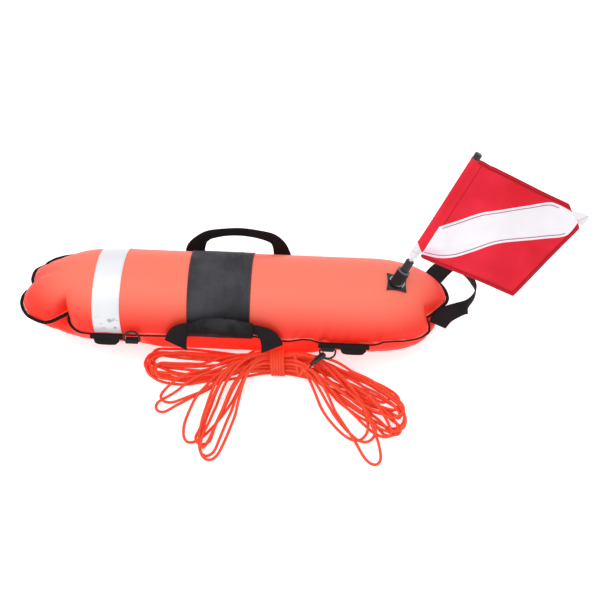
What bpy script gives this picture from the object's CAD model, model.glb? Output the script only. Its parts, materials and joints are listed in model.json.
import json
import math

import bmesh
import bpy
import numpy as np
from mathutils import Matrix, Vector


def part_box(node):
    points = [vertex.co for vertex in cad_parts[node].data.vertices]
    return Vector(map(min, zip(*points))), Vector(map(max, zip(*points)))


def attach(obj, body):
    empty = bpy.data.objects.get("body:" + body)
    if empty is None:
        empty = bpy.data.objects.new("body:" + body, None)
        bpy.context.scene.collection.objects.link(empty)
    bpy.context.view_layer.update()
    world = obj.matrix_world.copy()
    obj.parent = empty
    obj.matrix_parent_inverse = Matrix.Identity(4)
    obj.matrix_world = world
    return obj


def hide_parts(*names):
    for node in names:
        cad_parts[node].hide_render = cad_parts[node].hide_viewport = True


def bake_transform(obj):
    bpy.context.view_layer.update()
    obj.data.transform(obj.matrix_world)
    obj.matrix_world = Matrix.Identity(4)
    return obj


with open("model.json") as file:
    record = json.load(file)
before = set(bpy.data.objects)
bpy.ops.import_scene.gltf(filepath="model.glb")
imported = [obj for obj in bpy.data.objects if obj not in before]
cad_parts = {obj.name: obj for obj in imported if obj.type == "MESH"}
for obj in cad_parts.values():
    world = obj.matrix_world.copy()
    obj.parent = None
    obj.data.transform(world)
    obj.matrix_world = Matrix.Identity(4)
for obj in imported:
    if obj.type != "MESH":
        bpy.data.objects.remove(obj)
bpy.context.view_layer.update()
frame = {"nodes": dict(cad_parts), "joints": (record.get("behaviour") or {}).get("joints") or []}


# The float lies on a plain white floor in soft, even studio light. The picture is taken from
# above its near side with a long lens, so the camera stands about two and a half metres off.
def added(name, data):
    """A new object in the scene."""
    thing = bpy.data.objects.new(name, data)
    bpy.context.scene.collection.objects.link(thing)
    return thing


def place_camera(lens, eye, right, up):
    data = bpy.data.cameras.new("camera")
    data.lens = lens
    data.sensor_width = 36.0
    data.clip_end = 20.0
    camera = added("camera", data)
    across = Vector(right).normalized()
    rise = Vector(up).normalized()
    turn = Matrix((across, rise, across.cross(rise))).transposed().to_4x4()
    camera.matrix_world = Matrix.Translation(eye) @ turn
    bpy.context.scene.camera = camera


place_camera(lens=76.47, eye=(0.20047412, -1.35525739, 2.0859006),
             right=(0.99880614, 0.04884977, 0.0), up=(-0.04049829, 0.82804782, 0.5591929))
bpy.context.scene.view_settings.view_transform = "Standard"


def math_node(operation, swapped=False):
    """A method that adds the Math node of an operation on its value and another."""
    def method(self, other):
        return self.math(operation, *((other, self) if swapped else (self, other)))
    return method


class Value:
    """A node's output; + - * / and ** on it add the Math nodes that they stand for."""

    def __init__(self, nodes, socket):
        self.nodes = nodes
        self.socket = socket

    def math(self, operation, *values):
        inputs = dict(enumerate(values))
        return self.nodes.node("ShaderNodeMath", {"operation": operation}, inputs)

    __add__ = math_node("ADD")
    __radd__ = math_node("ADD", swapped=True)
    __sub__ = math_node("SUBTRACT")
    __rsub__ = math_node("SUBTRACT", swapped=True)
    __mul__ = math_node("MULTIPLY")
    __rmul__ = math_node("MULTIPLY", swapped=True)
    __truediv__ = math_node("DIVIDE")
    __pow__ = math_node("POWER")
    over = math_node("GREATER_THAN")
    under = math_node("LESS_THAN")
    least = math_node("MINIMUM")
    most = math_node("MAXIMUM")

    def wave(self, pitch):
        """A sine with one turn to each pitch."""
        turned = self * (2.0 * math.pi / pitch)
        return turned.math("SINE", turned)

    def size(self):
        return self.math("ABSOLUTE", self)

    def fade(self, low, high):
        """0 at low and 1 at high, with a soft way between."""
        settings = {"interpolation_type": "SMOOTHSTEP"}
        return self.nodes.node("ShaderNodeMapRange", settings,
                               {"Value": self, "From Min": low, "From Max": high})


class Nodes:
    """A node tree. node() adds any node to it and gives back one of its outputs."""

    def __init__(self, tree):
        self.tree = tree

    def link(self, target, value):
        if isinstance(value, Value):
            self.tree.links.new(value.socket, target)
        elif isinstance(value, tuple) and target.type == "RGBA":
            target.default_value = (*value, 1.0)
        else:
            target.default_value = value

    def node(self, kind, settings=None, inputs=None, output=0):
        made = self.tree.nodes.new(kind)
        for name, value in (settings or {}).items():
            setattr(made, name, value)
        for name, value in (inputs or {}).items():
            self.link(made.inputs[name], value)
        return Value(self, made.outputs[output])

    def seen(self):
        """1 for what the camera sees, straight, mirrored or through something; 0 for light."""
        ray = self.node("ShaderNodeLightPath", output="Is Camera Ray")
        for kind in ("Is Glossy Ray", "Is Transmission Ray"):
            ray = ray.most(self.node("ShaderNodeLightPath", output=kind))
        return ray


class Finish(Nodes):
    """One material."""

    def __init__(self, name, roughness, specular):
        self.material = bpy.data.materials.new(name)
        self.material.use_nodes = True
        super().__init__(self.material.node_tree)
        self.shader = self.tree.nodes["Principled BSDF"]
        self.put("Roughness", roughness)
        self.put("Specular IOR Level", specular)

    def put(self, name, value):
        self.link(self.shader.inputs[name], value)

    def place(self):
        return self.node("ShaderNodeTexCoord", output="Object")

    def axes(self, vector=None):
        split = self.node("ShaderNodeSeparateXYZ", None, {"Vector": vector or self.place()})
        return [Value(self, socket) for socket in split.socket.node.outputs]

    def run_of(self):
        """Metres along a strap or line, and metres across or round it."""
        return self.axes(self.node("ShaderNodeUVMap", {"uv_map": "lay"}))[:2]

    def noise(self, scale, detail=2.0):
        inputs = {"Vector": self.place(), "Scale": scale, "Detail": detail}
        return self.node("ShaderNodeTexNoise", None, inputs)

    def mix(self, share, low, high):
        settings = {"data_type": "RGBA", "clamp_factor": True}
        return self.node("ShaderNodeMix", settings, {"Factor": share, 6: low, 7: high}, output=2)

    def bump(self, height, depth, strength):
        inputs = {"Height": height, "Distance": depth, "Strength": strength}
        self.put("Normal", self.node("ShaderNodeBump", None, inputs))


def floor_and_light():
    white = (1.0, 1.0, 1.0)
    floor_glow = 0.58
    light = 0.80
    light_seen = 1.00
    floor_size = 6.0
    shade = Finish("floor_white", 0.9, 0.0)
    shade.put("Base Color", (0.86, 0.86, 0.86))
    glow = shade.node("ShaderNodeEmission", None,
                      {"Color": white, "Strength": floor_glow * shade.seen()})
    surface = Value(shade, shade.shader.outputs[0])
    both = shade.node("ShaderNodeAddShader", None, {0: surface, 1: glow})
    shade.link(shade.tree.nodes["Material Output"].inputs["Surface"], both)
    bm = bmesh.new()
    bmesh.ops.create_grid(bm, x_segments=1, y_segments=1, size=floor_size)
    mesh = bpy.data.meshes.new("floor")
    bm.to_mesh(mesh)
    bm.free()
    mesh.materials.append(shade.material)
    added("floor", mesh)

    world = bpy.data.worlds.new("studio")
    world.use_nodes = True
    nodes = Nodes(world.node_tree)
    backdrop = world.node_tree.nodes["Background"]
    nodes.link(backdrop.inputs["Color"], white)
    nodes.link(backdrop.inputs["Strength"], light + (light_seen - light) * nodes.seen())
    bpy.context.scene.world = world

    target = Vector((0.05, -0.05, 0.05))
    # Each lamp's name, its place, its size and its power
    lamps = (("key_softbox", (-0.5, -0.7, 2.3), 1.7, 13.0),
             ("fill_softbox", (1.6, 1.4, 1.9), 1.6, 5.0))
    for name, place, size, power in lamps:
        data = bpy.data.lights.new(name, "AREA")
        data.size = size
        data.energy = power
        lamp = added(name, data)
        lamp.location = place
        lamp.rotation_euler = (target - Vector(place)).to_track_quat("-Z", "Y").to_euler()


floor_and_light()


# The float is two long panels of coated fabric, welded together along a flat seam and blown
# up hard. Their square corners are drawn together at the ends, which leaves puckers there,
# and short creases stand along the seam.
SHARP_EDGE = math.radians(38.0)
SAME_PLACE = 0.000001


def dress(name, mesh, finish, body, slot, *replaced):
    """Puts a mesh into the scene as a piece that rides on a body and takes a finish."""
    piece = added(name, mesh)
    mesh.materials.append(finish.material)
    mesh.shade_smooth()
    mesh.set_sharp_from_angle(angle=SHARP_EDGE)
    if body:
        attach(piece, body)
    if replaced:
        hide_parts(*replaced)
    return piece


def grid_mesh(name, rings, caps=False, lay=None):
    """Faces between closed rings; lay gives each ring and point its metres along and across."""
    bm = bmesh.new()
    rows = [[bm.verts.new(point) for point in ring] for ring in rings]
    layer = bm.loops.layers.uv.new("lay")
    count = len(rows[0])
    for i in range(len(rows) - 1):
        for j in range(count):
            k = (j + 1) % count
            face = bm.faces.new((rows[i][j], rows[i + 1][j], rows[i + 1][k], rows[i][k]))
            if lay:
                places = ((i, j), (i + 1, j), (i + 1, j + 1), (i, j + 1))
                for loop, place in zip(face.loops, places):
                    loop[layer].uv = lay(*place)
    if caps:
        bm.faces.new(rows[0])
        bm.faces.new(list(reversed(rows[-1])))
    bmesh.ops.remove_doubles(bm, verts=bm.verts, dist=SAME_PLACE)
    bmesh.ops.recalc_face_normals(bm, faces=bm.faces)
    mesh = bpy.data.meshes.new(name)
    bm.to_mesh(mesh)
    bm.free()
    return mesh


def shell_mesh(name, outer, inner, lay=None):
    """A thin sheet: the outer grid, the inner grid behind it and the edge between them."""
    rings = [list(front) + list(reversed(back)) for front, back in zip(outer, inner)]
    count = len(outer[0])

    def folded(i, j):
        return lay(i, j if j < count else 2 * count - 1 - j)

    mesh = grid_mesh(name, rings, lay=folded if lay else None)
    bm = bmesh.new()
    bm.from_mesh(mesh)
    open_edges = [edge for edge in bm.edges if edge.is_boundary]
    if open_edges:
        filled = bmesh.ops.holes_fill(bm, edges=open_edges)
        bmesh.ops.triangulate(bm, faces=filled["faces"])
    bm.to_mesh(mesh)
    bm.free()
    return mesh


def clamped(share):
    return min(max(share, 0.0), 1.0)


def bell(off, wide):
    """1 in the middle and about a third at wide to either side."""
    return math.exp(-(off / wide) ** 2)


def squarish(share, power):
    """A sine or cosine to a power, its sign kept: below 1 the round turns squarer."""
    return math.copysign(abs(share) ** power, share)


def from_table(table, place):
    """The value at a place, on straight lines between the table's rows."""
    return float(np.interp(place, *zip(*table)))


RADIUS = 0.0865
HALF_LENGTH = 0.400
END_TAPER = 0.140
LEFT_TAPER = 0.200
RIGHT_TAPER = 0.150
WIDTH_ROUNDING = 2.5
HEIGHT_ROUNDING = 1.8
END_FLATTENING = 0.30
FABRIC = 0.0012
REST_HEIGHT = 0.0015
FULL_TURN = 360.0
HALF_TURN = 180.0


def taper(x, length, power):
    """1 along the float's middle, rounding off to 0 over the last length before its end."""
    past = clamped((abs(x) - (HALF_LENGTH - length)) / length)
    return (1.0 - past ** power) ** (1.0 / power)


# How far each end's outline is drawn in from its plain round: ways across the end in degrees
# and metres
LEFT_OUTLINE = (
    (-94.0, 0.0), (-84.0, 0.0040), (-78.0, 0.0115), (-69.5, 0.0225), (-59.0, 0.0335),
    (-52.0, 0.0430), (-46.5, 0.0530), (-44.0, 0.0540), (-42.4, 0.0370), (-40.8, 0.0190),
    (-38.0, 0.0115), (-34.0, 0.0100), (-29.5, 0.0085), (-24.0, 0.0062), (-17.0, 0.0062),
    (-11.0, 0.0068), (-6.0, 0.0093), (-1.5, 0.0145), (1.2, 0.0225), (3.3, 0.0285),
    (5.4, 0.0296), (8.9, 0.0240), (12.6, 0.0180), (16.6, 0.0140), (21.9, 0.0096),
    (26.0, 0.0110), (30.0, 0.0122), (33.5, 0.0075), (40.8, 0.0035), (50.0, 0.0015), (90.0, 0.0))
RIGHT_OUTLINE = (
    (-90.0, 0.0), (-62.0, 0.0020), (-53.0, 0.0030), (-45.0, 0.0050), (-38.0, 0.0080),
    (-33.0, 0.0115), (-28.0, 0.0150), (-22.0, 0.0255), (-16.5, 0.0370), (-13.4, 0.0395),
    (-9.0, 0.0350), (-3.8, 0.0280), (2.0, 0.0165), (5.7, 0.0085), (9.3, 0.0045),
    (16.0, 0.0028), (24.0, 0.0015), (45.0, 0.0))
BROAD_DEPTH = 0.020
# How far it reaches above and below the seam: its broad part, and the sharper fold
BROAD_REACH = (0.056, 0.030)
FOLD_REACH = (0.046, 0.013)
# The nick at each end's deepest fold: its ways across the left and the right end, its
# depth, its spread in degrees, its height over the seam and how tall it is
NOTCH_WAYS = (-44.0, -13.0)
NOTCH_DEPTH = 0.0052
NOTCH_SPREAD = 2.0
NOTCH_HEIGHT = 0.016
NOTCH_TALL = 0.017


def drawn_in(point):
    """The point moved in where an end's fabric is drawn together, most of all at the seam."""
    centre = HALF_LENGTH - END_TAPER
    run = abs(point.x) - centre
    if run <= 0.0:
        return point
    left = point.x < 0.0
    reach = math.hypot(run, point.y)
    angle = math.degrees(math.atan2(point.y, run))
    height = point.z - RADIUS
    below = 0 if height > 0.0 else 1
    depth = from_table(LEFT_OUTLINE if left else RIGHT_OUTLINE, angle)
    broad = min(depth, BROAD_DEPTH)
    depth = (broad * bell(height, BROAD_REACH[below])
             + (depth - broad) * bell(height, FOLD_REACH[below]))
    off_notch = angle - NOTCH_WAYS[0 if left else 1]
    depth += NOTCH_DEPTH * bell(off_notch, NOTCH_SPREAD) * bell(height - NOTCH_HEIGHT, NOTCH_TALL)
    depth *= min(run / centre * 4.0, 1.0)
    shrink = 1.0 - depth / max(reach, depth + 0.00001)
    x = centre + run * shrink
    return Vector((-x if left else x, point.y * shrink, point.z))


def plain_skin(x, angle, lift=0.0):
    """The float's skin at x: angle 0 is the near seam, 90 the top and 180 the far seam."""
    width = RADIUS * taper(x, END_TAPER, WIDTH_ROUNDING) + lift
    tall = taper(x, LEFT_TAPER if x < 0.0 else RIGHT_TAPER, HEIGHT_ROUNDING)
    turn = math.radians(angle)
    flat = 1.0 + END_FLATTENING * (1.0 - tall)
    return Vector((x, -width * squarish(math.cos(turn), flat),
                   RADIUS + (RADIUS * tall + lift) * squarish(math.sin(turn), flat)))


# Each crease on the near side: its place along the float, its depth and its width
CREASES = ((0.171, 0.0027, 0.0055), (0.262, 0.0030, 0.0060), (0.120, 0.0016, 0.0045),
           (0.212, 0.0018, 0.0050), (-0.305, 0.0014, 0.0080), (-0.150, 0.0006, 0.0070),
           (0.318, 0.0010, 0.0060))
# The heights of the ripples and puckers, and how many degrees from the seam each kind reaches
RIPPLE = 0.00022
PUCKER = 0.00030
PUCKERS_FROM = 0.30
CREASE_REACH = 24.0
RIPPLE_REACH = 13.0
PUCKER_REACH = 40.0
MOST_OUT = 0.0004


def creasing(x, angle):
    """How far the skin is drawn in at its creases and between the puckers."""
    from_seam = min(abs(angle), abs(HALF_TURN - angle), abs(FULL_TURN - angle))
    if from_seam <= 1.0:
        return 0.0
    near = angle < 90.0 or angle > 270.0
    deep = 0.0
    for place, depth, wide in CREASES:
        middle = place if near else -place * 0.9 + 0.02
        off = (x - middle - 0.0003 * from_seam) / wide
        beside = 0.35 * bell(abs(off) - 1.9, 0.9)
        deep += depth * (bell(off, 1.0) - beside) * bell(from_seam, CREASE_REACH)
    wave = math.sin(x * 131.0 + 0.9) + 0.6 * math.sin(x * 223.0 + 2.0)
    deep += RIPPLE * (1.6 + wave) * bell(from_seam, RIPPLE_REACH)
    turn = math.radians(angle)
    fan = math.sin(turn * 17.0 + x * 24.0) + math.sin(turn * 29.0)
    end_share = clamped((abs(x) - PUCKERS_FROM) / (HALF_LENGTH - PUCKERS_FROM))
    deep += PUCKER * end_share ** 1.5 * (2.0 + fan) * bell(from_seam, PUCKER_REACH)
    return max(deep, -MOST_OUT)


# Where the near seam stands up and in over a crease: places along the float and shares
SEAM_RISES = (
    (-0.400, 0.0), (-0.160, 0.0), (-0.120, 0.16), (-0.098, 0.60), (-0.065, 1.50), (0.030, 1.55),
    (0.068, 0.70), (0.092, 0.10), (0.108, 0.10), (0.132, 0.95), (0.147, 0.88), (0.160, 0.16),
    (0.170, 0.0), (0.262, 0.0), (0.271, 0.45), (0.280, 1.15), (0.300, 1.20), (0.330, 0.70),
    (0.360, 0.10), (0.400, 0.0))
SEAM_RISE = Vector((0.0, 0.0044, 0.0030))
RISE_REACH = 20.0


def seam_rise(x, angle):
    """How the seam and the skin beside it stand off their plain line."""
    turn = min(abs(angle), abs(FULL_TURN - angle))
    if turn > 3.0 * RISE_REACH:
        return Vector()
    return SEAM_RISE * (from_table(SEAM_RISES, x) * bell(turn, RISE_REACH))


# The belly is fuller beside the line, between the handle's feet
BELLY_FILL = 0.0072
FILL_ENDS = (-0.180, 0.178)
FILL_ANGLE = 324.0
FILL_SPREAD = 17.0
# The skin hangs slack on the far side of the left end
SLACK = 0.60
SLACK_PLACE = -0.332
SLACK_LENGTH = 0.044
SLACK_ANGLE = 162.0
SLACK_SPREAD = 26.0


def skin(x, angle):
    """The skin with its creases, its puckers and its fuller belly beside the line."""
    low = angle > HALF_TURN
    lift = -creasing(x, angle)
    if low:
        between = clamped((x - FILL_ENDS[0]) / 0.05) * clamped((FILL_ENDS[1] - x) / 0.03)
        lift += BELLY_FILL * between * bell(angle - FILL_ANGLE, FILL_SPREAD)
    point = drawn_in(plain_skin(x, angle, lift))
    if low and point.z < REST_HEIGHT:
        point.z = 0.0
    if not low and x < 0.0:
        near_slack = bell(x - SLACK_PLACE, SLACK_LENGTH) * bell(angle - SLACK_ANGLE, SLACK_SPREAD)
        point.z = RADIUS + (point.z - RADIUS) * (1.0 - SLACK * near_slack)
    return point


def skin_way(x, angle):
    """The way straight out of the skin."""
    step = 0.001
    along = (plain_skin(min(x + step, HALF_LENGTH), angle)
             - plain_skin(max(x - step, -HALF_LENGTH), angle))
    around = plain_skin(x, angle + 1.0) - plain_skin(x, angle - 1.0)
    way = along.cross(around)
    at_tip = way.length < 0.0000001
    return Vector((math.copysign(1.0, x), 0.0, 0.0)) if at_tip else way.normalized()


def float_stations(middle_steps, end_steps=64):
    """Places along the float, closer together towards its ends."""
    turns = [math.pi / 2.0 * k / end_steps for k in range(end_steps + 1)]
    straight = HALF_LENGTH - END_TAPER
    right = [straight + END_TAPER * math.sin(turn) ** 0.8 for turn in turns]
    middle = [-straight + 2.0 * straight * k / middle_steps for k in range(1, middle_steps)]
    return [-x for x in reversed(right)] + middle + right


def coated_fabric():
    shade = Finish("coated_fabric", 0.46, 0.32)
    up = (shade.axes()[2] - RADIUS) / RADIUS
    base = shade.mix(up.fade(0.18, 0.92), (0.98, 0.027, 0.012), (0.97, 0.208, 0.134))
    weld = up.fade(0.012, 0.024) * (1.0 - up.fade(0.050, 0.070))
    patchy = shade.noise(26.0).fade(0.38, 0.60)
    shade.put("Base Color", shade.mix(weld * patchy * 0.65, base, (1.0, 0.46, 0.30)))
    through = shade.mix(up.fade(-0.5, 0.45), (0.95, 0.026, 0.014), (0.14, 0.006, 0.004))
    shade.put("Emission Color", through)
    shade.put("Emission Strength", 0.40)
    shade.put("Roughness", 0.40 + 0.14 * shade.noise(9.0))
    shade.bump(shade.noise(1500.0, 1.0) * 0.06 + shade.noise(22.0, 3.0), 0.0009, 0.45)
    return shade


def make_panels():
    fabric = coated_fabric()
    rows = 90
    seam_gap = 0.0001
    shift = 0.00015
    tip_share = 0.4
    for name, node, start in (("top_panel", "upper_panel", 0.0),
                              ("belly_panel", "lower_panel", HALF_TURN)):
        top = name == "top_panel"
        outer = []
        inner = []
        angles = [start + HALF_TURN * j / rows for j in range(rows + 1)]
        for x in float_stations(130):
            thick = FABRIC * (1.0 if abs(x) < HALF_LENGTH - seam_gap else tip_share)
            ring = [skin(x, angle) for angle in angles]
            back = []
            for angle, point in zip(angles, ring):
                inside = point - skin_way(x, angle) * thick
                if top:
                    inside.z = max(inside.z, RADIUS + seam_gap)
                else:
                    inside.z = min(inside.z, RADIUS - seam_gap)
                    if point.z < REST_HEIGHT:
                        inside.z = max(inside.z, FABRIC)
                back.append(inside)
            for angle, pair in zip(angles, zip(ring, back)):
                for point in pair:
                    if abs(point.z - RADIUS) < 0.01:
                        point.z += shift if top else -shift
                    point += seam_rise(x, angle)
            outer.append(ring)
            inner.append(back)
        dress(name, shell_mesh(name, outer, inner), fabric, "float", "float_fabric", node)


make_panels()


# The seam's edge is bound all round with a narrow folded tape, sewn through. It is wider
# and thicker round the drawn-in ends, where it stands free.
def webbing_black(name, base, pitch):
    shade = Finish(name, 0.82, 0.12)
    along, across = shade.run_of()
    rib = along.wave(pitch) * 0.5
    cross = (across / (pitch * 1.4) + along / (pitch * 4.0)).wave(1.0) * 0.5
    low = tuple(c * 0.62 for c in base)
    high = tuple(c * 1.5 for c in base)
    share = shade.noise(60.0) * 0.55 + rib * cross * 0.5 + 0.2
    shade.put("Base Color", shade.mix(share, low, high))
    shade.bump(rib * cross + 0.3 * rib, 0.00025, 0.8)
    return shade


WEBBING = webbing_black("black_webbing", (0.0150, 0.0130, 0.0140), 0.0016)
TAPE = webbing_black("binding_tape", (0.014, 0.012, 0.013), 0.0011)


def runs(points):
    """The length of the line through the points, up to each of them."""
    along = [0.0]
    for a, b in zip(points, points[1:]):
        along.append(along[-1] + (b - a).length)
    return along


def turns(count):
    """The angles of equal steps round a circle."""
    return [2.0 * math.pi * j / count for j in range(count)]


def rim():
    """The seam's outline and each point's outward way."""
    xs = float_stations(150)
    near = [drawn_in(plain_skin(x, 0.0)) + seam_rise(x, 0.0) for x in xs]
    far = [drawn_in(plain_skin(x, HALF_TURN)) for x in reversed(xs[1:-1])]
    points = near + far
    ways = []
    for k in range(len(points)):
        along = points[(k + 1) % len(points)] - points[k - 1]
        ways.append(Vector((along.y, -along.x, 0.0)).normalized())
    return points, ways


TAPE_WIDE = 0.0028
TAPE_THICK = 0.0015
END_WIDER = 0.0036
END_THICKER = 0.0014
# Where the tape begins to widen, towards the left end and towards the right
WIDER_FROM = (0.265, 0.345)
WIDER_OVER = 0.045


def make_binding():
    sides = 12
    folded_width = 0.016
    gap = 0.0003
    points, ways = rim()
    rings = []
    for point, way in zip(points, ways):
        past = abs(point.x) - WIDER_FROM[0 if point.x < 0.0 else 1]
        end_share = clamped(past / WIDER_OVER)
        half_wide = (TAPE_WIDE + END_WIDER * end_share) / 2.0
        half_thick = (TAPE_THICK + END_THICKER * end_share) / 2.0
        middle = point + way * (gap + half_wide)
        rings.append([middle + way * squarish(math.cos(a), 0.55) * half_wide
                      + Vector((0.0, 0.0, squarish(math.sin(a), 0.7) * half_thick))
                      for a in turns(sides)])
    rings.append(rings[0])
    along = runs(points + points[:1])
    mesh = grid_mesh("binding", rings, lay=lambda i, j: (along[i], folded_width * j / sides))
    dress("binding", mesh, TAPE, "float", "black_webbing", "seam_binding")


make_binding()


# A band of silver reflective tape, 50 mm wide, is welded over the top panel near the left
# end. Its foot carries a few scuffed grey patches.
def wrap_mesh(name, centre, wide, lift, thick, columns, rows, slant=0.0, bend=0.0, rise=None):
    """A strip of sheet over the top panel from seam to seam."""
    margin = 2.65
    bent_share = 0.35
    outer = []
    inner = []
    for i in range(columns + 1):
        u = i / columns
        front = []
        back = []
        for j in range(rows + 1):
            v = j / rows
            angle = margin + (HALF_TURN - 2.0 * margin) * v
            x = (centre + (u - 0.5) * wide + slant * (2.0 * v - 1.0)
                 + bend * max(1.0 - v / bent_share, 0.0) ** 2)
            way = skin_way(x, angle)
            base = skin(x, angle)
            front.append(base + way * (lift + thick + (rise(u, v) if rise else 0.0)))
            back.append(base + way * lift)
        outer.append(front)
        inner.append(back)
    length = math.pi * RADIUS
    return shell_mesh(name, outer, inner,
                      lay=lambda i, j: (length * j / rows, wide * (i / columns - 0.5)))


def reflective_tape():
    shade = Finish("reflective_tape", 0.34, 0.6)
    along, across = shade.run_of()
    sheen = shade.noise(7.0).fade(0.35, 0.7)
    tone = shade.mix(sheen, (0.80, 0.82, 0.87), (0.93, 0.94, 0.97))
    foot = along.fade(0.010, 0.016) * (1.0 - along.fade(0.030, 0.042))
    scuff = shade.noise(85.0, 3.0).fade(0.55, 0.66)
    tone = shade.mix(scuff * foot * 0.75, tone, (0.22, 0.24, 0.27))
    marks = shade.noise(150.0).fade(0.74, 0.78)
    tone = shade.mix(marks * 0.25, tone, (0.40, 0.41, 0.44))
    hem = across.size().fade(0.0226, 0.0232)
    shade.put("Base Color", shade.mix(hem * 0.4, tone, (0.70, 0.55, 0.55)))
    shade.put("Metallic", 0.12)
    shade.bump(shade.node("ShaderNodeTexVoronoi", None, {"Scale": 420.0}), 0.00008, 0.5)
    return shade


BAND_WIDTH = 0.050
band = wrap_mesh("silver_band", centre=-0.2225, wide=BAND_WIDTH, lift=0.00035, thick=0.0006,
                 columns=12, rows=90, slant=0.006, bend=0.0055)
dress("silver_band", band, reflective_tape(), "float", "silver_tape", "reflective_band")


# A wide sleeve of dark grey nylon spans the top panel between the handles. Its hems are sewn
# to the float, and it lies with shallow folds that run down towards the near handle.
SLEEVE_WIDTH = 0.114
SLEEVE_PUFF = 0.0007
HEM_ROLL = 0.0006
# Each fold: its place and lean across the sleeve, its width, its height and where it runs
SLEEVE_FOLDS = ((0.74, -0.60, 0.022, 0.0038, 0.28, 0.74), (0.55, -0.45, 0.032, 0.0030, 0.20, 0.62),
                (0.86, -0.35, 0.020, 0.0030, 0.40, 0.82), (0.28, 0.35, 0.040, 0.0020, 0.14, 0.46),
                (0.40, -0.20, 0.060, 0.0006, 0.50, 0.86))


def sleeve_rise(u, v):
    """How far the sleeve's folds, its puffed middle and its rolled hems stand up."""
    folds = 0.0
    for place, lean, wide, high, low_v, high_v in SLEEVE_FOLDS:
        across = u - place - lean * (v - (low_v + high_v) / 2.0)
        ends = clamped((v - low_v) / 0.12) * clamped((high_v - v) / 0.12)
        folds += high * bell(across, wide) * ends
    hem = min(u, 1.0 - u)
    puff = SLEEVE_PUFF * math.sin(math.pi * u) ** 0.5
    return folds * clamped((hem - 0.02) / 0.08) + puff + HEM_ROLL * bell(hem - 0.012, 0.012)


def sleeve_nylon():
    shade = Finish("grey_nylon", 0.58, 0.35)
    along, across = shade.run_of()
    edge = SLEEVE_WIDTH / 2.0 - across.size()
    line = edge.over(0.0044) * edge.under(0.0054) * along.wave(0.0045).over(-0.25)
    dust = shade.noise(13.0, 4.0).fade(0.36, 0.66)
    base = shade.mix(dust, (0.014, 0.013, 0.017), (0.050, 0.048, 0.060))
    shaded = shade.mix(dust, (0.007, 0.006, 0.008), (0.020, 0.018, 0.023))
    base = shade.mix(((shade.axes()[2] - RADIUS) / RADIUS).fade(0.15, 0.80), shaded, base)
    base = shade.mix(line * 0.8, base, (0.012, 0.011, 0.012))
    shade.put("Base Color", shade.mix(edge.under(0.0016) * 0.55, base, (0.16, 0.012, 0.012)))
    weave = along.wave(0.0011) * across.wave(0.0011)
    creases = shade.noise(60.0, 4.0) * 0.5
    shade.bump(weave * 0.08 + creases * 2.2 - line * 0.8, 0.0007, 0.9)
    return shade


sleeve = wrap_mesh("sleeve", centre=-0.021, wide=SLEEVE_WIDTH, lift=0.0004, thick=0.0010,
                   columns=48, rows=120, rise=sleeve_rise)
dress("sleeve", sleeve, sleeve_nylon(), "float", "black_fabric", "centre_sleeve")


# The near handle is a U of 38 mm webbing sewn into the seam, whose feet flare and end in cut
# corners below it. A sewn sleeve with soft padding closes round its top as the grip.
SEAM_OUT = 0.0938
EDGE_SPACING = 0.0052
NEAR_LEAN = Vector((0.0, 0.0037, 0.0425)).normalized()


def smooth_point(points, share):
    """A point on the smooth curve through the points, share 0 at the first, 1 at the last."""
    place = clamped(share) * (len(points) - 1)
    index = min(int(place), len(points) - 2)
    t = place - index
    p1 = points[index]
    p2 = points[index + 1]
    p0 = points[index - 1] if index else p1 * 2.0 - p2
    p3 = points[index + 2] if index + 2 < len(points) else p2 * 2.0 - p1
    return (p1 * 2.0 + (p2 - p0) * t + (p0 * 2.0 - p1 * 5.0 + p2 * 4.0 - p3) * t * t
            + (p1 * 3.0 - p0 - p2 * 3.0 + p3) * t ** 3) * 0.5


def smooth_line(points, steps):
    return [smooth_point(points, k / steps) for k in range(steps + 1)]


def webbing_mesh(name, stations, thick, steps):
    """Webbing through stations, each a centre and half its width as a vector."""
    middles, wides = (smooth_line(points, steps) for points in zip(*stations))
    along = runs(middles)
    shares = (-1.0, -0.5, 0.0, 0.5, 1.0)
    right, left = ([(side, math.cos(math.radians(turn)), math.sin(math.radians(turn)))
                    for turn in edge]
                   for side, edge in ((1.0, (45.0, 0.0, -45.0)), (-1.0, (-135.0, 180.0, 135.0))))
    section = ([(share, 0.0, 1.0) for share in shares] + right
               + [(share, 0.0, -1.0) for share in reversed(shares)] + left)
    half = thick / 2.0
    rings = []
    for k, (middle, wide) in enumerate(zip(middles, wides)):
        way = middles[min(k + 1, steps)] - middles[max(k - 1, 0)]
        face = way.cross(wide).normalized()
        unit = wide.normalized()
        flat = wide.length - half
        rings.append([middle + unit * (flat * share + out * half) + face * (rise * half)
                      for share, out, rise in section])
    return grid_mesh(name, rings, caps=True,
                     lay=lambda i, j: (along[i], EDGE_SPACING * (j if j < 8 else 16 - j)))


def strap(name, stations, thick, steps, node):
    """A handle's webbing. It is blended from the float's body to its own at its feet."""
    mesh = webbing_mesh(name, stations, thick, steps)
    return dress(name, mesh, WEBBING, None, "black_webbing", node)


def near_station(x, high, turn, half):
    """A place on the leaning handle, and half its width turned so far from level."""
    a = math.radians(turn)
    across = Vector((1.0, 0.0, 0.0)) * math.cos(a) - NEAR_LEAN * math.sin(a)
    return Vector((x, -SEAM_OUT, RADIUS)) + NEAR_LEAN * high, across * half


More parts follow.
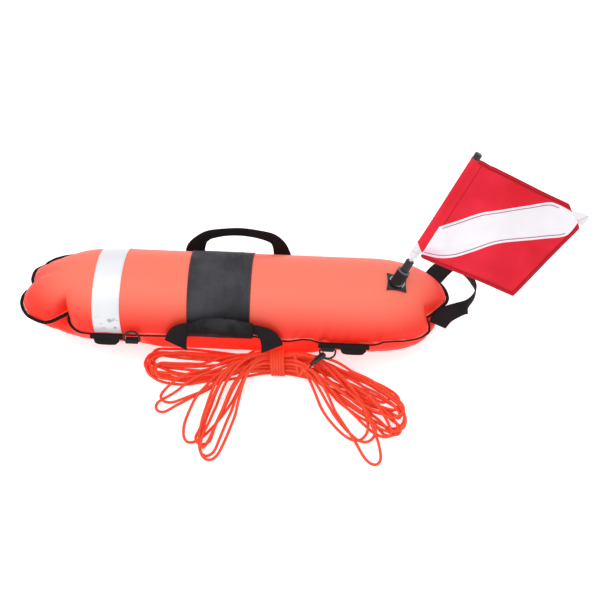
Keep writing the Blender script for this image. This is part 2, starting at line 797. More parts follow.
def make_near_handle():
    wide = 0.0190
    slim = 0.0120
    middle = -0.011
    # From the left foot to the grip: centres and half widths
    left = [
        (Vector((-0.0993, -0.0985, RADIUS - 0.0105)), Vector((0.0200, -0.0035, -0.0105))),
        (Vector((-0.0985, -0.0952, RADIUS - 0.0020)), Vector((0.0192, -0.0015, -0.0066))),
        near_station(-0.0965, 0.0100, 12.0, wide),
        near_station(-0.0915, 0.0225, 27.0, wide * 0.94),
        near_station(-0.0835, 0.0322, 48.0, wide * 0.80),
        near_station(-0.0720, 0.0372, 72.0, slim * 1.12),
        near_station(-0.0560, 0.0400, 90.0, slim),
    ]
    right = [(Vector((2.0 * middle - centre.x, centre.y, centre.z)),
              Vector((-half.x, half.y, half.z))) for centre, half in reversed(left)]
    handle = strap("near_handle", left + right, 0.0020, 110, "front_handle_strap")
    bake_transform(handle)


# The grip from its left end to its right: its height over the seam, and its height and
# thickness as shares of the fullest
GRIP_LINE = [Vector(row) for row in (
    (0.0345, 0.66, 0.62), (0.0392, 0.86, 0.90), (0.0430, 0.99, 1.0), (0.0428, 1.02, 1.0),
    (0.0405, 1.03, 1.0), (0.0378, 0.98, 1.0), (0.0352, 0.84, 0.86))]
GRIP_LEFT = -0.0725
GRIP_LENGTH = 0.1155
GRIP_TALL = 0.0205
GRIP_THICK = 0.0108
GRIP_NICK = 0.0075
CLOTH_LENGTH = 0.114
CLOTH_ROUND = 0.090


def grip_cloth():
    shade = Finish("grip_cloth", 0.72, 0.12)
    along, around = shade.run_of()
    high = shade.axes()[2] - RADIUS
    worn = high.fade(0.030, 0.064) * shade.noise(30.0, 3.0).fade(0.25, 0.70)
    base = shade.mix(worn, (0.0070, 0.0058, 0.0066), (0.0400, 0.0380, 0.0430))
    ends = CLOTH_LENGTH / 2.0 - (along - CLOTH_LENGTH / 2.0).size()
    line = ends.over(0.0045) * ends.under(0.0056) * around.wave(0.0040).over(-0.2)
    shade.put("Base Color", shade.mix(line * 0.8, base, (0.010, 0.009, 0.010)))
    weave = along.wave(0.0013) * around.wave(0.0013)
    folds = (shade.noise(42.0, 3.0) - 0.5) * 2.4
    shade.bump(weave * 0.10 + folds - line, 0.0007, 0.7)
    return shade


def make_grip():
    steps = 64
    sides = 28
    rings = []
    for k in range(steps + 1):
        share = k / steps
        line = smooth_point(GRIP_LINE, share)
        bump = 0.0005 * math.sin(share * 41.0) * math.sin(share * 13.0 + 1.0)
        tall = GRIP_TALL * line.y + bump
        thick = GRIP_THICK * line.z + bump
        gathered = 0.02 * bell(min(share, 1.0 - share), 0.16)
        nick = GRIP_NICK * bell(share - 0.36, 0.085)
        middle = Vector((GRIP_LEFT + share * GRIP_LENGTH, -SEAM_OUT, RADIUS))
        ring = []
        for a in turns(sides):
            pucker = 1.0 + gathered * math.sin(9.0 * a + 31.0 * share)
            low = max(-math.cos(a), 0.0) ** 1.5
            high = line.x + math.cos(a) * tall * pucker + nick * low
            out = Vector((0.0, math.sin(a) * thick * pucker, 0.0))
            ring.append(middle + out + NEAR_LEAN * high)
        rings.append(ring)
    mesh = grid_mesh("grip", rings, caps=True,
                     lay=lambda i, j: (CLOTH_LENGTH * i / steps, CLOTH_ROUND * j / sides))
    grip = dress("grip", mesh, grip_cloth(), "front_handle", "black_fabric", "front_handle_grip")


make_near_handle()
make_grip()


# The far handle is a plain U of the same webbing. Its top is folded double, which makes it
# half as wide and leaves a slanted fold at each shoulder.
STRAP_THICK = 0.0022


def make_far_handle():
    lean = Vector((0.0, 0.0148, 0.067)).normalized()
    # Each centre along the float and up the handle, and the half width in the same two ways
    table = (
        (-0.0803, -0.0120, -0.0190, 0.0000), (-0.0802, 0.0165, -0.0184, -0.0008),
        (-0.0752, 0.0355, -0.0172, -0.0010), (-0.0655, 0.0475, -0.0125, 0.0040),
        (-0.0500, 0.0580, -0.0056, 0.0090), (-0.0202, 0.0650, -0.0006, 0.0091),
        (0.0078, 0.0670, 0.0000, 0.0094), (0.0364, 0.0634, 0.0006, 0.0098),
        (0.0640, 0.0550, 0.0052, 0.0100), (0.0780, 0.0400, 0.0120, 0.0048),
        (0.0848, 0.0140, 0.0165, 0.0010), (0.0865, -0.0120, 0.0190, 0.0000),
    )
    stations = [(Vector((x, SEAM_OUT, RADIUS)) + lean * high,
                 Vector((half_x, 0.0, 0.0)) + lean * half_high)
                for x, high, half_x, half_high in table]
    handle = strap("far_handle", stations, STRAP_THICK, 120, "rear_handle_strap")
    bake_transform(handle)


make_far_handle()


# Beside each near ring a strip of webbing is sewn down over the seam, with a wide flat loop
# under it for tying gear on. The loop's lower corners are cut at a slant.
GEAR_THICK = 0.0018
STRIP_OUT = 0.0974
STRIP_UP = 0.0050
LOOP_OUT = 0.0986
LOOP_UP = 0.0014
# Each strip's side, and how far it runs back and ahead of its loop's middle
STRIP_RUNS = (("left", -0.030, 0.030), ("right", -0.064, 0.029))
# Each station of a loop: its place off the middle, how far it stands out and half its height
LOOP_STATIONS = (
    (-0.0235, 0.0, 0.00186), (-0.0200, 0.00156, 0.002604), (-0.0160, 0.00312, 0.003596),
    (-0.0110, 0.00372, 0.004092), (0.0, 0.00396, 0.004216), (0.0120, 0.00372, 0.004216),
    (0.0180, 0.0030, 0.004092), (0.0205, 0.00156, 0.003472), (0.0230, 0.0, 0.002852))


def make_gear_loops():
    for side, back, ahead in STRIP_RUNS:
        low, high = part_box("gear_loop_" + side)
        middle = (low[0] + high[0]) / 2.0
        strip = []
        for share in (0.0, 0.12, 0.5, 0.88, 1.0):
            x = middle + back + (ahead - back) * share
            strip.append((Vector((x, -STRIP_OUT, RADIUS + STRIP_UP)),
                          Vector((0.0, -0.0022, -0.0042))))
        loop = []
        for off, out, tall in LOOP_STATIONS:
            half = Vector((-0.0015, -0.0042, -tall)) if out else Vector((0.0, -0.0020, -tall))
            centre = Vector((middle + off, -LOOP_OUT - out, RADIUS + LOOP_UP - tall))
            loop.append((centre, half))
        for kind, stations, steps in (("gear_strip_", strip, 40), ("gear_loop_", loop, 60)):
            mesh = webbing_mesh(kind + side, stations, GEAR_THICK, steps)
            dress(kind + side + "_sewn", mesh, WEBBING, "float", "black_webbing", kind + side)


make_gear_loops()


# A third carrying loop of webbing comes off the right end. It lies flat at its two sewn feet
# and stands on edge round its bend. The near foot is a wide flap with cut corners.
JOINTS = {joint["name"]: joint for joint in frame["joints"]}


def make_nose_handle():
    # From the near foot round to the far one: centres and half widths
    table = (
        (0.3777, -0.0400, 0.0022, 0.0150, -0.0068, 0.0000),
        (0.3850, -0.0270, 0.0036, 0.0178, -0.0060, 0.0000),
        (0.3980, -0.0150, 0.0042, 0.0188, -0.0075, 0.0000),
        (0.4120, -0.0050, 0.0022, 0.0172, -0.0078, -0.0020),
        (0.4235, 0.0015, -0.0010, 0.0118, -0.0064, -0.0080),
        (0.4340, 0.0120, -0.0010, 0.0020, -0.0015, -0.0122),
        (0.4460, 0.0290, 0.0000, 0.0005, 0.0000, -0.0115),
        (0.4500, 0.0480, 0.0000, 0.0005, 0.0010, -0.0120),
        (0.4430, 0.0670, 0.0000, 0.0010, 0.0010, -0.0165),
        (0.4330, 0.0830, 0.0000, 0.0010, 0.0025, -0.0188),
        (0.4200, 0.0950, 0.0000, -0.0050, 0.0060, -0.0175),
        (0.4020, 0.1000, 0.0000, -0.0135, 0.0110, -0.0060),
        (0.3840, 0.0850, 0.0006, -0.0162, 0.0095, 0.0000),
        (0.3620, 0.0540, 0.0022, -0.0155, 0.0100, 0.0000),
    )
    stations = [(Vector((x, y, RADIUS + rise)), Vector(half)) for x, y, rise, *half in table]
    handle = strap("nose_handle", stations, STRAP_THICK, 120, "nose_handle_strap")
    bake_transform(handle)


make_nose_handle()


# Four D-rings of black acetal hang in webbing tabs, two on each side. The tabs are folded
# round the rings and sewn into the seam.
def paint(finish, *names):
    """Gives a finish to pieces that stay as the frame has them."""
    for name in names:
        materials = frame["nodes"][name].data.materials
        materials.clear()
        materials.append(finish.material)


def black_moulding(name, base, rough):
    shade = Finish(name, rough, 0.45)
    low = tuple(c * 0.75 for c in base)
    high = tuple(c * 1.5 for c in base)
    shade.put("Base Color", shade.mix(shade.noise(140.0, 3.0), low, high))
    shade.put("Roughness", (rough - 0.06) + 0.12 * shade.noise(60.0))
    shade.bump(shade.noise(900.0, 1.0), 0.00005, 0.4)
    return shade


def plain_webbing():
    """Webbing for pieces without a lay of their own: the ribs run along the float."""
    shade = Finish("sewn_webbing", 0.78, 0.28)
    x, y, z = shade.axes()
    rib = x.wave(0.0016) * (y + z).wave(0.0022)
    share = shade.noise(60.0) * 0.6 + rib * 0.2 + 0.2
    shade.put("Base Color", shade.mix(share, (0.0102, 0.0090, 0.0099), (0.0248, 0.0218, 0.0240)))
    shade.bump(rib, 0.00025, 0.8)
    return shade


ACETAL = black_moulding("black_acetal", (0.0130, 0.0125, 0.0135), 0.36)
CORNERS = ("front_left", "front_right", "rear_left", "rear_right")
paint(ACETAL, *["d_ring_" + corner for corner in CORNERS])
paint(plain_webbing(), *["ring_tab_" + corner for corner in CORNERS])


# The flag's mast is a white glass-fibre rod with a black cap. It stands in a moulded rubber
# socket: a square foot glued to the skin, a round flange and a collar, their rims scuffed
# pale. A rubber ferrule on the mast's foot plugs into it.
MAST_SPOT = (0.2977, 87.2)
MAST_FOOT_UP = 0.0049
MAST_LEAN = 35.0
MAST_HEADING = 40.7
FLAG_TURN = 41.26


def mast_axes():
    """The mast's foot, and the ways up it, along the flag's fly and behind the flag."""
    foot = plain_skin(*MAST_SPOT) + skin_way(*MAST_SPOT) * MAST_FOOT_UP
    lean = math.radians(MAST_LEAN)
    heading = math.radians(MAST_HEADING)
    up = Vector((math.sin(lean) * math.cos(heading), math.sin(lean) * math.sin(heading),
                 math.cos(lean)))
    level = up.cross(Vector((0.0, 0.0, 1.0))).normalized()
    turn = math.radians(FLAG_TURN)
    fly = level * math.cos(turn) + up.cross(level) * math.sin(turn)
    return foot, up, fly, up.cross(fly)


FOOT, UP, FLY, BEHIND = mast_axes()


def off_foot(shade, way):
    """Metres from the mast's foot along one of its ways."""
    x, y, z = shade.axes()
    return (x - FOOT.x) * way.x + (y - FOOT.y) * way.y + (z - FOOT.z) * way.z


def rimmed_rubber():
    shade = Finish("rimmed_rubber", 0.50, 0.16)
    x, y, z = shade.axes()
    up = off_foot(shade, UP)
    across = ((x - FOOT.x) ** 2 + (y - FOOT.y) ** 2) ** 0.5
    base = shade.mix(shade.noise(90.0), (0.008, 0.006, 0.008), (0.019, 0.015, 0.018))
    flange = across.fade(0.0112, 0.0128) * up.under(0.0035) * up.over(-0.0030)
    shade.put("Base Color", shade.mix(up.over(0.0236) * 0.28 + flange, base, (0.55, 0.53, 0.55)))
    shade.bump(shade.noise(300.0, 1.0), 0.00006, 0.4)
    return shade


def white_glass():
    shade = Finish("white_glass_rod", 0.30, 0.5)
    shade.put("Base Color", shade.mix(shade.noise(40.0), (0.80, 0.80, 0.82), (0.92, 0.92, 0.93)))
    shade.bump(shade.noise(700.0, 1.0), 0.00003, 0.3)
    return shade


RUBBER = black_moulding("black_rubber", (0.0120, 0.0100, 0.0115), 0.50)
GLASS = white_glass()
paint(RUBBER, "flag_base_plate", "mast_ferrule")
paint(rimmed_rubber(), "flag_socket_flange", "flag_socket")
paint(GLASS, "mast_rod")
paint(ACETAL, "mast_cap")


# The flag is sewn of light nylon: two red pieces and a white stripe between them with its
# seams turned under, and a hem all round.
CLOTH = 0.00045
THREAD = 0.0004
CLOTH_GAP = 0.0024
# Corners and edges of the cloth as (along the fly, up the mast)
STRIPE_TOP = ((0.0100, 0.1330), (0.0309, 0.1578), (0.0595, 0.1915), (0.0846, 0.2125),
              (0.1197, 0.2425), (0.1500, 0.2660), (0.1700, 0.2698), (0.1940, 0.2690))
STRIPE_LOW = ((0.0100, 0.0705), (0.0393, 0.0788), (0.0636, 0.0946), (0.0860, 0.1190),
              (0.1182, 0.1572), (0.1754, 0.1996), (0.2100, 0.2260), (0.2138, 0.2565))
UPPER_CUT = ((0.0052, 0.1330), (0.0052, 0.2765), (0.1824, 0.2795), (0.1949, 0.2690))
LOWER_CUT = ((0.0100, 0.0665), (0.0141, 0.0640), (0.1941, 0.0777), (0.2229, 0.2483),
             (0.2151, 0.2568))
SEAMS = (("upper_seam", STRIPE_TOP, -1.0), ("lower_seam", STRIPE_LOW, 1.0))
HEMS = (("hoist_seam", ((0.0148, 0.1420), (0.0148, 0.2000), (0.0146, 0.2690))),
        ("top_hem", ((0.018, 0.2690), (0.100, 0.2708), (0.165, 0.2722), (0.185, 0.2722))),
        ("fly_hem", ((0.1880, 0.0850), (0.2020, 0.1650), (0.2150, 0.2440))),
        ("low_hem", ((0.0200, 0.0703), (0.1000, 0.0768), (0.1875, 0.0838))))


def cloth_wave(t, s):
    """How far the cloth stands in front of its flat plane, at t along the fly and s up."""
    free = clamped((t - 0.02) / 0.05)
    swing = 0.0016 * math.sin(t * 31.0 + s * 17.0) + 0.0012 * math.sin(t * 55.0 - s * 47.0 + 1.0)
    crease = 0.0020 * bell(s - 0.235 - 0.16 * (t - 0.06), 0.010)
    from_head = (t - 0.02) ** 2 + (s - 0.268) ** 2
    from_tie = (t - 0.03) ** 2 + (s - 0.085) ** 2
    head = 0.0018 * math.sin((s * 0.55 + t * 0.85) * 260.0) * math.exp(-from_head / 0.00080)
    tie = 0.0015 * math.sin((s * 0.8 - t * 0.5) * 220.0) * math.exp(-from_tie / 0.00060)
    return CLOTH_GAP + free * (swing + crease) * 0.75 + head + tie


def cloth_point(t, s, lift):
    return (FOOT + FLY * t + UP * s
            - BEHIND * (cloth_wave(t, s) * min(t / 0.012, 1.0) * 0.8 + lift))


def on_curve(corners, share):
    """A point on the smooth curve through the corners."""
    return smooth_point([Vector((t, s, 0.0)) for t, s in corners], share)


def on_path(corners, share):
    """A point at a share of the length of the straight path through the corners."""
    vectors = [Vector((t, s, 0.0)) for t, s in corners]
    total = runs(vectors)
    want = total[-1] * share
    last = len(vectors) - 2
    k = next((k for k in range(last) if want <= total[k + 1]), last)
    return vectors[k].lerp(vectors[k + 1], (want - total[k]) / (total[k + 1] - total[k]))


def spots_between(edge, edge_corners, far, far_corners, steps=60, rows=30):
    """A grid of flat places from one edge of a piece to the edge opposite it."""
    spots = []
    for i in range(steps + 1):
        a = edge(edge_corners, i / steps)
        b = far(far_corners, i / steps)
        spots.append([a.lerp(b, j / rows) for j in range(rows + 1)])
    return spots


def cloth_mesh(name, spots, lift, thick, lay):
    outer = [[cloth_point(p.x, p.y, lift + thick) for p in row] for row in spots]
    inner = [[cloth_point(p.x, p.y, lift) for p in row] for row in spots]
    return shell_mesh(name, outer, inner, lay)


def cloth_piece(name, spots, lift, finish, slot, node):
    """One piece of the flag's cloth and its flat area."""
    mesh = cloth_mesh(name, spots, lift, CLOTH, lambda i, j: (spots[i][j].x, spots[i][j].y))
    area = 0.0
    for row, ahead in zip(spots, spots[1:]):
        for a, b, c, d in zip(row, ahead, ahead[1:], row[1:]):
            area += abs((c - a).cross(d - b).z) / 2.0
    return dress(name, mesh, finish, "flag", slot, node), area


def cloth_line(name, points, half, lift, finish):
    """A flat sewn line that lies on the cloth along a path, half its width to each side."""
    rows = []
    for k, point in enumerate(points):
        way = points[min(k + 1, len(points) - 1)] - points[max(k - 1, 0)]
        side = Vector((-way.y, way.x, 0.0)).normalized() * half
        rows.append([point - side, point, point + side])
    along = runs(points)
    mesh = cloth_mesh(name, rows, lift, THREAD, lambda i, j: (along[i], half * (j - 1)))
    return dress(name, mesh, finish, "flag", "red_cloth")


def nylon(name, low, high):
    shade = Finish(name, 0.60, 0.22)
    base = shade.mix(shade.noise(11.0, 3.0).fade(0.3, 0.72), low, high)
    t, s = shade.run_of()
    shade.bump(t.wave(0.0010) * s.wave(0.0010) * 0.05 + shade.noise(34.0, 3.0), 0.0012, 0.35)
    shade.put("Roughness", 0.55 + 0.1 * shade.noise(30.0))
    return shade, base, t, s


RED_CLOTH = ((0.78, 0.010, 0.028), (0.95, 0.024, 0.054))


def red_nylon():
    """Red cloth, darker where its hems lie double, with the sewn line at each hem's edge."""
    shade, base, t, s = nylon("red_nylon", *RED_CLOTH)
    fly = (s - 0.0777) * 0.1665 - (t - 0.1941) * 0.986
    foot = (s - 0.0640) * 0.997 - (t - 0.0141) * 0.0759
    head = (t - 0.0052) * 0.0169 - (s - 0.2765)
    inside = fly.least(foot).least(head)
    base = shade.mix(inside.under(0.0078) * 0.75, base, (0.50, 0.005, 0.015))
    wrinkled = shade.noise(95.0, 3.0).fade(0.45, 0.75) * inside.under(0.0120)
    base = shade.mix(wrinkled * 0.30, base, (0.42, 0.004, 0.012))
    line = (inside - 0.0060).size().under(0.0008)
    shade.put("Base Color", shade.mix(line * 0.70, base, (0.30, 0.003, 0.010)))
    return shade


def white_nylon():
    """White cloth, tinted pink at the corner by the mast where red cloth lies behind it."""
    shade, base, t, s = nylon("white_nylon", (0.90, 0.85, 0.92), (0.99, 0.96, 1.0))
    fly = off_foot(shade, FLY)
    up = off_foot(shade, UP)
    tint = (1.0 - fly.fade(0.020, 0.062)) * (1.0 - (up - fly * 0.25).size().fade(0.076, 0.092))
    base = shade.mix(tint * 0.75, base, (0.96, 0.60, 0.78))
    shade.put("Base Color", base)
    shade.put("Emission Color", base)
    shade.put("Emission Strength", 0.07)
    return shade


def thread(name, colour, contrast):
    shade = Finish(name, 0.7, 0.2)
    dash = shade.run_of()[0].wave(0.0036).fade(-0.9, 0.2)
    pale = tuple(c + (1.0 - c) * contrast for c in colour)
    shade.put("Base Color", shade.mix(dash, pale, colour))
    shade.bump(dash, 0.0002, 0.5)
    return shade


def make_flag():
    red = red_nylon()
    spots = spots_between(on_curve, STRIPE_TOP, on_path, UPPER_CUT)
    upper, upper_area = cloth_piece("upper_red", spots, 0.0, red, "red_cloth", "flag_upper_red")
    spots = spots_between(on_curve, STRIPE_LOW, on_path, LOWER_CUT)
    lower, lower_area = cloth_piece("lower_red", spots, 0.0, red, "red_cloth", "flag_lower_red")
    spots = spots_between(on_curve, STRIPE_LOW, on_curve, STRIPE_TOP)
    stripe, stripe_area = cloth_piece("white_stripe", spots, 0.0001, white_nylon(), "white_cloth",
                                      "flag_stripe")
    pink = thread("pink_thread", (0.34, 0.10, 0.16), 0.35)
    dark = thread("red_thread", (0.50, 0.004, 0.015), 0.02)
    in_from_edge = 0.0050
    for name, curve, sign in SEAMS:
        points = []
        for k in range(81):
            share = 0.02 + 0.84 * k / 80.0
            way = on_curve(curve, share + 0.01) - on_curve(curve, share - 0.01)
            side = Vector((-way.y, way.x, 0.0)).normalized()
            points.append(on_curve(curve, share) + side * sign * in_from_edge)
        cloth_line(name, points, half=0.00075, lift=0.00060, finish=pink)
    for name, corners in HEMS:
        points = [on_path(corners, k / 60.0) for k in range(61)]
        cloth_line(name, points, half=0.00050, lift=0.00046, finish=dark)


make_flag()


# A thin glass-fibre batten behind the stripe holds the flag out. Its end sits in a folded
# pocket of white cloth that is sewn on at the fly.
def tube_mesh(name, points, radius, sides, closed=False):
    """A round tube along the points, whose rings don't twist; lay is metres along and round."""
    if closed:
        points = points + points[:1]
    last = len(points) - 1
    ways = []
    for k in range(last + 1):
        before = points[k - 1] if k else points[-2 if closed else 0]
        after = points[k + 1] if k < last else points[1 if closed else -1]
        ways.append((after - before).normalized())
    side = ways[0].orthogonal().normalized()
    sides_at = []
    for way in ways:
        side = (side - way * side.dot(way)).normalized()
        sides_at.append(side)
    twist = 0.0
    if closed:
        first, end = sides_at[0], sides_at[-1]
        twist = math.atan2(first.cross(end).dot(ways[0]), first.dot(end))
    rings = []
    for k, (point, way, side) in enumerate(zip(points, ways, sides_at)):
        other = way.cross(side)
        angles = [a - twist * k / last for a in turns(sides)]
        rings.append([point + (side * math.cos(a) + other * math.sin(a)) * radius for a in angles])
    along = runs(points)
    girth = 2.0 * math.pi * radius
    return grid_mesh(name, rings, caps=not closed, lay=lambda i, j: (along[i], girth * j / sides))


def pocket_cloth():
    shade = Finish("pocket_cloth", 0.62, 0.22)
    t, s = shade.run_of()
    off = (t * 0.82 - s * 0.57 - 0.0262).size()
    line = off.under(0.0006) * (t + s).wave(0.0036).over(-0.4)
    base = shade.mix(shade.noise(40.0), (0.92, 0.86, 0.94), (1.0, 0.95, 1.0))
    shade.put("Base Color", shade.mix(line * 0.8, base, (0.45, 0.14, 0.20)))
    shade.bump(shade.noise(60.0), 0.0006, 0.4)
    return shade


POCKET = pocket_cloth()
BATTEN_RADIUS = 0.0015


def make_batten():
    start = FOOT + FLY * 0.0160 + UP * 0.0850 + BEHIND * 0.0034
    end = FOOT + FLY * 0.2215 + UP * 0.2700 + BEHIND * 0.0030
    points = [start.lerp(end, k / 12.0) for k in range(13)]
    mesh = tube_mesh("batten", points, BATTEN_RADIUS, 12)
    dress("batten", mesh, GLASS, "flag", "white_rod", "flag_batten")
    near = ((0.1935, 0.2690), (0.2128, 0.2742), (0.2270, 0.2748))
    far = ((0.2150, 0.2560), (0.2200, 0.2550), (0.2242, 0.2546), (0.2276, 0.2740))
    steps = 24
    rows = 12
    spots = spots_between(on_path, near, on_path, far, steps, rows)
    outer = []
    inner = []
    for i, row in enumerate(spots):
        swell = 0.0022 * math.sin(math.pi * min(i / steps + 0.1, 0.96))
        front = []
        back = []
        for j, spot in enumerate(row):
            full = 0.0011 + swell * math.sin(math.pi * j / rows)
            flat = FOOT + FLY * spot.x + UP * spot.y
            front.append(flat - BEHIND * (full - 0.0016))
            back.append(flat + BEHIND * (full + 0.0030))
        outer.append(front)
        inner.append(back)
    mesh = shell_mesh("batten_pocket", outer, inner,
                      lay=lambda i, j: (spots[i][j].x, spots[i][j].y))
    dress("batten_pocket", mesh, POCKET, "flag", "white_cloth", "batten_pocket_fly")


make_batten()


# Along the hoist the cloth is folded into a sleeve that slips over the mast. A tie of white
# cloth below it is knotted tight round the rod.
ROD_HOLE = 0.0033
FOLD_SIDES = 32
FOLD_ROUND = 0.040
HOIST_FOOT = 0.0690
HOIST_LENGTH = 0.2052
TIE_FOOT = 0.0570
TIE_LENGTH = 0.0114


def fold_outline(back, thick, reach):
    """A flattened fold of cloth round the rod that runs out flat along the fly, and its hole."""
    outer = []
    inner = []
    for a in turns(FOLD_SIDES):
        ahead = max(math.cos(a), 0.0)
        t = (back if math.cos(a) < 0.0 else thick) * math.cos(a) + (reach - thick) * ahead ** 2.2
        outer.append((t, thick * math.sin(a) * (1.0 - 0.90 * ahead ** 1.5)))
        inner.append((ROD_HOLE * math.cos(a), ROD_HOLE * math.sin(a)))
    return outer, inner


def tube_of_cloth(name, levels, finish, body, slot, node):
    """A folded sleeve from its levels: the height, back, thickness and reach of each."""
    folds = [(level[0], *fold_outline(*level[1:])) for level in levels]
    up_and_back = ([(height, outer) for height, outer, inner in folds]
                   + [(height, inner) for height, outer, inner in reversed(folds)])
    rings = []
    for k in range(FOLD_SIDES + 1):
        places = [(height, *outline[k % FOLD_SIDES]) for height, outline in up_and_back]
        rings.append([FOOT + FLY * t + BEHIND * b + UP * height for height, t, b in places])
    count = len(levels)

    def lay(i, j):
        place = j if j < count else 2 * count - 1 - j
        return FOLD_ROUND * i / FOLD_SIDES, levels[max(place, 0)][0]

    dress(name, grid_mesh(name, rings, lay=lay), finish, body, slot, node)


def hoist_nylon():
    """The hoist sleeve's cloth: red, with a white end below a slanted seam."""
    shade, base, t, s = nylon("hoist_nylon", *RED_CLOTH)
    white = (off_foot(shade, UP) + off_foot(shade, FLY) * 0.90).under(0.0812)
    shade.put("Base Color", shade.mix(white, base, (0.93, 0.89, 0.94)))
    return shade


def make_hoist():
    levels = []
    for k in range(65):
        share = k / 64.0
        low_end = bell(share, 0.14)
        gather = 0.0005 * math.sin(share * 90.0) * (bell(1.0 - share, 0.09) + low_end)
        reach = 0.0132 - 0.0050 * bell(share, 0.045)
        levels.append((HOIST_FOOT + HOIST_LENGTH * share, 0.0074 + 0.0012 * low_end + gather,
                       0.0043 + gather, reach + gather * 2.0))
    tube_of_cloth("hoist_sleeve", levels, hoist_nylon(), "flag", "red_cloth", "flag_sleeve")
    levels = [(TIE_FOOT + TIE_LENGTH * k / 8.0, 0.0086, 0.0046, 0.0066 + 0.0014 * k / 8.0)
              for k in range(9)]
    tube_of_cloth("mast_tie", levels, POCKET, "mast", "white_cloth", "flag_tie")


make_hoist()


# An oral inflation valve sits on the belly panel near the left end: a rubber flange welded
# to the skin, an acetal body in it, and its cap screwed in.
paint(RUBBER, "valve_flange")
paint(ACETAL, "valve_body", "valve_cap")


# A small snap hook of black acetal hangs on the near right ring. Its body is moulded flat
# and deep, with a sprung gate between its nose and its stem, and a swivel eye turns below.
def moulded_bar(name, stations, deep, body, node):
    """A bar of rounded oblong section through stations: centre, half thickness, half depth."""
    sides = 20
    steps = 5 * (len(stations) - 1)
    centres = smooth_line([station[0] for station in stations], steps)
    sizes = smooth_line([Vector((*station[1:], 0.0)) for station in stations], steps)
    rings = []
    for k, (centre, half) in enumerate(zip(centres, sizes)):
        way = (centres[min(k + 1, steps)] - centres[max(k - 1, 0)]).normalized()
        side = deep.cross(way).normalized()
        rings.append([centre + side * squarish(math.cos(a), 0.7) * half.x
                      + deep * squarish(math.sin(a), 0.55) * half.y for a in turns(sides)])
    mesh = grid_mesh(name, rings, caps=True, lay=lambda i, j: (0.001 * i, 0.001 * j))
    dress(name, mesh, ACETAL, body, "black_plastic", node)


def make_hook():
    wire = Vector(JOINTS["hook_swing"]["pos_m"])
    hinge = Vector(JOINTS["gate_press"]["pos_m"])
    down = Vector(JOINTS["eye_swivel"]["axis"]).normalized()
    deep = Vector(JOINTS["gate_press"]["axis"]).normalized()
    side = deep.cross(down).normalized()
    if (hinge - wire).dot(side) < 0.0:
        side = -side

    def placed(rows):
        return [(wire + down * low + side * out, thin, far) for low, out, thin, far in rows]

    # Each station's way down from the ring's wire and out, its half thickness and half depth
    body = placed((
        (0.0020, 0.0052, 0.0012, 0.0026), (-0.0010, 0.0051, 0.0019, 0.0034),
        (-0.0044, 0.0030, 0.0020, 0.0038), (-0.0053, 0.0, 0.0024, 0.0042),
        (-0.0042, -0.0036, 0.0024, 0.0042), (0.0010, -0.0054, 0.0026, 0.0042),
        (0.0080, -0.0054, 0.0026, 0.0042), (0.0122, -0.0042, 0.0029, 0.0044),
        (0.0150, -0.0012, 0.0034, 0.0044), (0.0172, 0.0, 0.0044, 0.0046),
        (0.0190, 0.0, 0.0048, 0.0048), (0.0206, 0.0, 0.0040, 0.0040)))
    gate = [(hinge + down * 0.0004, 0.0019, 0.0032)] + placed((
        (0.0095, 0.0044, 0.0018, 0.0032), (0.0040, 0.0052, 0.0017, 0.0030),
        (0.0026, 0.0053, 0.0010, 0.0024)))
    moulded_bar("snap_hook_body", body, deep, "hook", "snap_hook")
    moulded_bar("hook_gate", gate, deep, "gate", "snap_gate")
    paint(ACETAL, "hook_eye")


make_hook()


# The line is about sixteen metres of braided floating rope. It is folded into a hank,
# pressed together at its waist and tied there by five wraps of its own end; the loops fall
# open on the floor to both sides. The other end rises to a knot under the hook's eye.
ROPE = 0.0054
STEP = 0.0045
WAIST = Vector((0.087, -0.0930))
WAIST_LENGTH = 0.030
WAIST_LANE = 0.0053
WAIST_RISE = 0.0052
WRAPS = 5
WRAP_PITCH = 0.00515
# How sharply the line may bend upwards where it climbs over itself, per metre
BEND_LIMIT = 17.0
# Each loop's fall on the floor in the order it was laid: its way in degrees, how far it
# reaches from the waist and half its width
LEFT_FALLS = (
    (180, 0.244, 0.035), (179, 0.240, 0.012), (181, 0.250, 0.029), (180, 0.234, 0.020),
    (184, 0.246, 0.033), (186, 0.236, 0.009), (182, 0.240, 0.024), (187, 0.228, 0.016),
    (205, 0.240, 0.013), (201, 0.226, 0.020), (227, 0.226, 0.030), (238, 0.226, 0.019),
    (233, 0.216, 0.012), (240, 0.232, 0.027), (236, 0.222, 0.008),
)
RIGHT_FALLS = (
    (-15, 0.216, 0.012), (-18, 0.236, 0.024), (-22, 0.250, 0.008), (-20, 0.240, 0.018),
    (-26, 0.258, 0.028), (-30, 0.262, 0.007), (-25, 0.250, 0.020), (-31, 0.258, 0.014),
    (-28, 0.264, 0.032), (-34, 0.254, 0.020), (-43, 0.214, 0.033), (-41, 0.228, 0.027),
    (-23, 0.252, 0.026), (-46, 0.270, 0.022), (-29, 0.256, 0.010),
)
# The lanes that the line takes through the waist, one pass after the other
MIXED_LANES = (-0.5, 1.5, -1.5, 2.5, -2.5, 0.5)
LANES = ((-3.0, 3.0, -2.0, 2.0, -1.0, 1.0, 0.0) + MIXED_LANES
         + (3.0, -3.0, 2.0, -2.0, 1.0, -1.0, 0.0) + MIXED_LANES + (-1.0, 1.0, 0.0))


